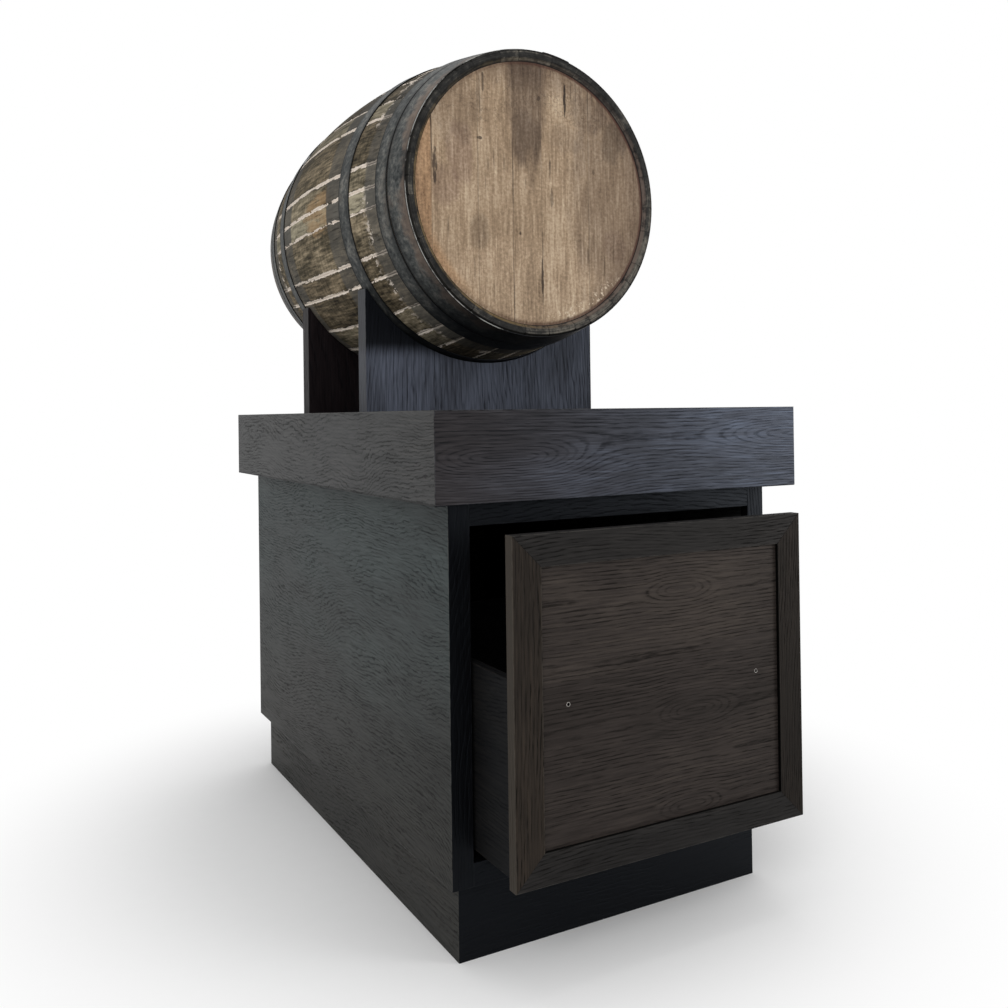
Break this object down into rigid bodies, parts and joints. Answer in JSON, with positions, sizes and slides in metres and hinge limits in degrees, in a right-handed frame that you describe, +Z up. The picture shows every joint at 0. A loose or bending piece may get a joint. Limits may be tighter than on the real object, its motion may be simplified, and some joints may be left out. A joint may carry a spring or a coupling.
{
  "type": "barrel bar cabinet",
  "caption": "Dark oak bar cabinet with a thick mitred counter, a deep inset drawer pulled part open, and an oak cask lying in a cradle on top.",
  "frame": {"origin": "on the floor at the centre of the plinth, on the cross rail's underside", "axes": "+Z up, -Y is the drawer side, +X to the right seen from the drawer side"},
  "size_m": [0.75, 1.283, 1.657],
  "materials": {
    "cabinet_oak": "black-stained oak veneer, satin lacquer",
    "carcass_oak": "black-stained board, flat lacquer",
    "drawer_front_oak": "dark brown stained oak, satin lacquer",
    "drawer_box_oak": "dark brown stained board, flat lacquer",
    "stave_oak": "weathered bare oak",
    "head_oak": "weathered bare oak",
    "bung_wood": "bare poplar",
    "hoop_steel": "oxidised galvanised steel",
    "slide_steel": "zinc-plated steel",
    "carriage_plastic": "moulded nylon",
    "screw_steel": "zinc-plated steel"
  },
  "bodies": {
    "cabinet": {"plinth_front": "cabinet_oak", "plinth_back": "cabinet_oak", "plinth_left": "cabinet_oak", "plinth_right": "cabinet_oak", "side_panel_left": "cabinet_oak", "side_panel_right": "cabinet_oak", "face_frame_stile_left": "cabinet_oak", "face_frame_stile_right": "cabinet_oak", "face_frame_rail_top": "cabinet_oak", "face_frame_rail_bottom": "cabinet_oak", "counter_top_panel": "cabinet_oak", "counter_apron_front": "cabinet_oak", "counter_apron_back": "cabinet_oak", "counter_apron_left": "cabinet_oak", "counter_apron_right": "cabinet_oak", "cradle_board_front": "cabinet_oak", "cradle_board_rear": "cabinet_oak", "plinth_cross_rail": "carcass_oak", "carcass_bottom": "carcass_oak", "back_panel": "carcass_oak", "stretcher_front": "carcass_oak", "stretcher_rear": "carcass_oak", "counter_soffit": "carcass_oak", "counter_ribs": "carcass_oak", "slide_bearer_left": "carcass_oak", "slide_bearer_right": "carcass_oak", "barrel_staves": "stave_oak", "bung_stave": "stave_oak", "barrel_head_front": "head_oak", "barrel_head_rear": "head_oak", "head_hoop_front": "hoop_steel", "head_hoop_rear": "hoop_steel", "quarter_hoop_front": "hoop_steel", "quarter_hoop_rear": "hoop_steel", "bilge_hoop_front": "hoop_steel", "bilge_hoop_rear": "hoop_steel", "hoop_rivets": "hoop_steel", "slide_cabinet_rail_left": "slide_steel", "slide_cabinet_rail_right": "slide_steel", "cradle_screws": "screw_steel"},
    "drawer": {"drawer_front_stile_left": "drawer_front_oak", "drawer_front_stile_right": "drawer_front_oak", "drawer_front_rail_top": "drawer_front_oak", "drawer_front_rail_bottom": "drawer_front_oak", "drawer_front_panel": "drawer_front_oak", "drawer_box_side_left": "drawer_box_oak", "drawer_box_side_right": "drawer_box_oak", "drawer_box_front": "drawer_box_oak", "drawer_box_back": "drawer_box_oak", "drawer_bottom": "drawer_box_oak", "slide_drawer_rail_left": "slide_steel", "slide_drawer_rail_right": "slide_steel", "drawer_front_screws": "screw_steel"},
    "bung": {"bung": "bung_wood"},
    "slide_middle_rail_left": {"slide_middle_rail_left": "slide_steel"},
    "slide_middle_rail_right": {"slide_middle_rail_right": "slide_steel"},
    "slide_outer_carriage_left": {"slide_outer_carriage_left": "carriage_plastic"},
    "slide_outer_carriage_right": {"slide_outer_carriage_right": "carriage_plastic"},
    "slide_inner_carriage_left": {"slide_inner_carriage_left": "carriage_plastic"},
    "slide_inner_carriage_right": {"slide_inner_carriage_right": "carriage_plastic"}
  },
  "joints": [
    {"name": "drawer_slide", "type": "slide", "parent": "cabinet", "child": "drawer", "axis": [0, -1, 0], "range_m": [-0.132, 0.418]},
    {"name": "slide_middle_rail_left_slide", "type": "slide", "parent": "cabinet", "child": "slide_middle_rail_left", "axis": [0, -1, 0], "range_m": [-0.066, 0.209]},
    {"name": "slide_middle_rail_right_slide", "type": "slide", "parent": "cabinet", "child": "slide_middle_rail_right", "axis": [0, -1, 0], "range_m": [-0.066, 0.209]},
    {"name": "slide_outer_carriage_left_slide", "type": "slide", "parent": "cabinet", "child": "slide_outer_carriage_left", "axis": [0, -1, 0], "range_m": [-0.033, 0.1045]},
    {"name": "slide_outer_carriage_right_slide", "type": "slide", "parent": "cabinet", "child": "slide_outer_carriage_right", "axis": [0, -1, 0], "range_m": [-0.033, 0.1045]},
    {"name": "slide_inner_carriage_left_slide", "type": "slide", "parent": "cabinet", "child": "slide_inner_carriage_left", "axis": [0, -1, 0], "range_m": [-0.099, 0.3135]},
    {"name": "slide_inner_carriage_right_slide", "type": "slide", "parent": "cabinet", "child": "slide_inner_carriage_right", "axis": [0, -1, 0], "range_m": [-0.099, 0.3135]},
    {"name": "bung_lift", "type": "slide", "parent": "cabinet", "child": "bung", "axis": [0, 0, 1], "range_m": [0, 0.08]}
  ],
  "couplings": [
    {"joint": "slide_middle_rail_left_slide", "follows": "drawer_slide", "ratio": 0.5},
    {"joint": "slide_middle_rail_right_slide", "follows": "drawer_slide", "ratio": 0.5},
    {"joint": "slide_outer_carriage_left_slide", "follows": "drawer_slide", "ratio": 0.25},
    {"joint": "slide_outer_carriage_right_slide", "follows": "drawer_slide", "ratio": 0.25},
    {"joint": "slide_inner_carriage_left_slide", "follows": "drawer_slide", "ratio": 0.75},
    {"joint": "slide_inner_carriage_right_slide", "follows": "drawer_slide", "ratio": 0.75}
  ]
}
